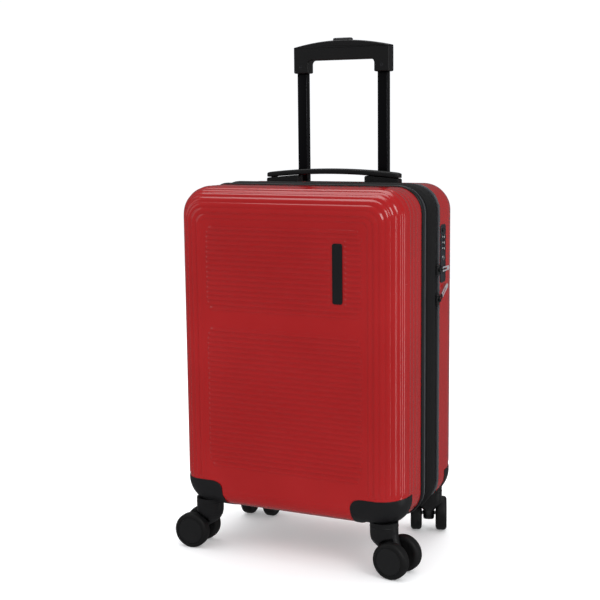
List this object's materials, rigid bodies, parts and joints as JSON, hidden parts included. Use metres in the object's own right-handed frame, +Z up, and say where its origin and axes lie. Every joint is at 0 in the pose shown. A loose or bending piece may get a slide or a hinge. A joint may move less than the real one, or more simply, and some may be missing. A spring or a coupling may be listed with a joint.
{
  "type": "hard shell suitcase on wheels",
  "caption": "Ribbed hard shell cabin suitcase with a zip-round lid, expansion band, combination lock, carry handle, telescopic trolley handle and swivelling double casters.",
  "frame": {"origin": "on the floor under the middle of the body, half-way between the two shells' faces and sides", "axes": "+X to the side with the lock, +Y from the opening front shell towards the back shell and trolley handle, +Z up"},
  "size_m": [0.3779, 0.2652, 0.7505],
  "materials": {
    "red_shell": "polished",
    "housing_black": "satin",
    "wheel_black": "satin",
    "trim_rubber": "matte",
    "zip_black": "woven",
    "lining_grey": "woven",
    "webbing": "woven",
    "tube_black": "satin",
    "grip_black": "satin",
    "button_black": "satin",
    "steel": "brushed",
    "pull_chrome": "polished",
    "lock_black": "satin",
    "dial_grey": "satin",
    "plate_black": "polished",
    "cup_black": "satin"
  },
  "bodies": {
    "root": {"back_shell": "red_shell", "back_trim": "trim_rubber", "main_zip_back": "zip_black", "back_lining": "lining_grey", "cross_straps": "webbing", "strap_buckle": "housing_black", "trolley_dock": "housing_black", "outer_tubes": "tube_black", "tube_feet": "housing_black", "housing_back_left": "housing_black", "housing_back_right": "housing_black", "kingpins_back": "steel", "handle_mounts": "grip_black", "lock_body": "lock_black", "dial_shaft": "steel"},
    "carry": {"carry_handle": "grip_black"},
    "trolley_middle": {"middle_tubes": "tube_black"},
    "trolley_inner": {"inner_tubes": "tube_black", "grip_base": "grip_black", "grip_cover": "grip_black"},
    "release": {"release_button": "button_black", "release_yoke": "steel"},
    "lid": {"zip_band": "zip_black", "main_zip_front": "zip_black", "gusset": "zip_black"},
    "front_half": {"front_shell": "red_shell", "front_trim": "trim_rubber", "expansion_zip": "zip_black", "front_lining": "lining_grey", "mesh_pocket": "lining_grey", "nameplate": "plate_black", "housing_front_left": "housing_black", "housing_front_right": "housing_black", "kingpins_front": "steel"},
    "number_dial_1": {"dial_1": "dial_grey"},
    "number_dial_2": {"dial_2": "dial_grey"},
    "number_dial_3": {"dial_3": "dial_grey"},
    "key": {"key_cylinder": "pull_chrome"},
    "lock_push": {"lock_release": "lock_black"},
    "zip_upper": {"slider_upper": "lock_black"},
    "zip_lower": {"slider_lower": "lock_black"},
    "tab_upper": {"pull_upper": "pull_chrome"},
    "tab_lower": {"pull_lower": "pull_chrome"},
    "caster_fl": {"fork_fl": "cup_black", "axle_fl": "steel"},
    "roller_fl_1": {"wheel_fl_1": "wheel_black"},
    "roller_fl_2": {"wheel_fl_2": "wheel_black"},
    "caster_fr": {"fork_fr": "cup_black", "axle_fr": "steel"},
    "roller_fr_1": {"wheel_fr_1": "wheel_black"},
    "roller_fr_2": {"wheel_fr_2": "wheel_black"},
    "caster_bl": {"fork_bl": "cup_black", "axle_bl": "steel"},
    "roller_bl_1": {"wheel_bl_1": "wheel_black"},
    "roller_bl_2": {"wheel_bl_2": "wheel_black"},
    "caster_br": {"fork_br": "cup_black", "axle_br": "steel"},
    "roller_br_1": {"wheel_br_1": "wheel_black"},
    "roller_br_2": {"wheel_br_2": "wheel_black"}
  },
  "joints": [
    {"name": "lid_hinge", "type": "hinge", "parent": "root", "child": "lid", "pos_m": [-0.1725, 0.032, 0.301], "axis": [0, 0, -1], "range_deg": [0, 180]},
    {"name": "expansion_slide", "type": "slide", "parent": "lid", "child": "front_half", "axis": [0, -1, 0], "range_m": [0, 0.04]},
    {"name": "trolley_middle_slide", "type": "slide", "parent": "root", "child": "trolley_middle", "axis": [0, 0, 1], "range_m": [0, 0.201]},
    {"name": "trolley_inner_slide", "type": "slide", "parent": "trolley_middle", "child": "trolley_inner", "axis": [0, 0, 1], "range_m": [-0.201, 0]},
    {"name": "release_slide", "type": "slide", "parent": "trolley_inner", "child": "release", "axis": [0, 0, -1], "range_m": [0, 0.004], "stiffness_N_per_m": 800, "springref_m": -0.003},
    {"name": "handle_slide", "type": "slide", "parent": "root", "child": "carry", "axis": [0, 0, 1], "range_m": [0, 0.012], "stiffness_N_per_m": 200, "springref_m": -0.002},
    {"name": "key_turn", "type": "hinge", "parent": "root", "child": "key", "pos_m": [0.1741, 0.054, 0.43], "axis": [1, 0, 0], "range_deg": [0, 90]},
    {"name": "lock_push_slide", "type": "slide", "parent": "root", "child": "lock_push", "axis": [-1, 0, 0], "range_m": [0, 0.001], "stiffness_N_per_m": 400, "springref_m": -0.0005},
    {"name": "zip_upper_slide", "type": "slide", "parent": "root", "child": "zip_upper", "axis": [0, 0, 1], "range_m": [0, 0.07]},
    {"name": "zip_lower_slide", "type": "slide", "parent": "root", "child": "zip_lower", "axis": [0, 0, 1], "range_m": [-0.22, 0]},
    {"name": "dial_turn_1", "type": "hinge", "parent": "root", "child": "number_dial_1", "pos_m": [0.1683, 0.054, 0.46], "axis": [0, 0, 1], "continuous": true},
    {"name": "dial_turn_2", "type": "hinge", "parent": "root", "child": "number_dial_2", "pos_m": [0.1683, 0.054, 0.4517], "axis": [0, 0, 1], "continuous": true},
    {"name": "dial_turn_3", "type": "hinge", "parent": "root", "child": "number_dial_3", "pos_m": [0.1683, 0.054, 0.4434], "axis": [0, 0, 1], "continuous": true},
    {"name": "tab_upper_hinge", "type": "hinge", "parent": "zip_upper", "child": "tab_upper", "pos_m": [0.1765, 0.032, 0.414], "axis": [1, 0, 0], "range_deg": [0, 90]},
    {"name": "tab_lower_hinge", "type": "hinge", "parent": "zip_lower", "child": "tab_lower", "pos_m": [0.1765, 0.032, 0.371], "axis": [1, 0, 0], "range_deg": [-119, 0]},
    {"name": "swivel_fl", "type": "hinge", "parent": "front_half", "child": "caster_fl", "pos_m": [-0.14, -0.09, 0.07], "axis": [0, 0, 1], "continuous": true},
    {"name": "wheel_spin_fl_1", "type": "hinge", "parent": "caster_fl", "child": "roller_fl_1", "pos_m": [-0.16227, -0.07251, 0.026], "axis": [0.0698, -0.9976, 0], "continuous": true},
    {"name": "wheel_spin_fl_2", "type": "hinge", "parent": "caster_fl", "child": "roller_fl_2", "pos_m": [-0.15962, -0.11042, 0.026], "axis": [0.0698, -0.9976, 0], "continuous": true},
    {"name": "swivel_fr", "type": "hinge", "parent": "front_half", "child": "caster_fr", "pos_m": [0.14, -0.09, 0.07], "axis": [0, 0, 1], "continuous": true},
    {"name": "wheel_spin_fr_1", "type": "hinge", "parent": "caster_fr", "child": "roller_fr_1", "pos_m": [0.15853, -0.11142, 0.026], "axis": [0.1219, 0.9925, 0], "continuous": true},
    {"name": "wheel_spin_fr_2", "type": "hinge", "parent": "caster_fr", "child": "roller_fr_2", "pos_m": [0.16316, -0.0737, 0.026], "axis": [0.1219, 0.9925, 0], "continuous": true},
    {"name": "swivel_bl", "type": "hinge", "parent": "root", "child": "caster_bl", "pos_m": [-0.14, 0.09, 0.07], "axis": [0, 0, 1], "continuous": true},
    {"name": "wheel_spin_bl_1", "type": "hinge", "parent": "caster_bl", "child": "roller_bl_1", "pos_m": [-0.1571, 0.06742, 0.026], "axis": [0.9962, 0.0872, 0], "continuous": true},
    {"name": "wheel_spin_bl_2", "type": "hinge", "parent": "caster_bl", "child": "roller_bl_2", "pos_m": [-0.11924, 0.07074, 0.026], "axis": [0.9962, 0.0872, 0], "continuous": true},
    {"name": "swivel_br", "type": "hinge", "parent": "root", "child": "caster_br", "pos_m": [0.14, 0.09, 0.07], "axis": [0, 0, 1], "continuous": true},
    {"name": "wheel_spin_br_1", "type": "hinge", "parent": "caster_br", "child": "roller_br_1", "pos_m": [0.15067, 0.11623, 0.026], "axis": [-0.9397, -0.342, 0], "continuous": true},
    {"name": "wheel_spin_br_2", "type": "hinge", "parent": "caster_br", "child": "roller_br_2", "pos_m": [0.11496, 0.10323, 0.026], "axis": [-0.9397, -0.342, 0], "continuous": true}
  ]
}
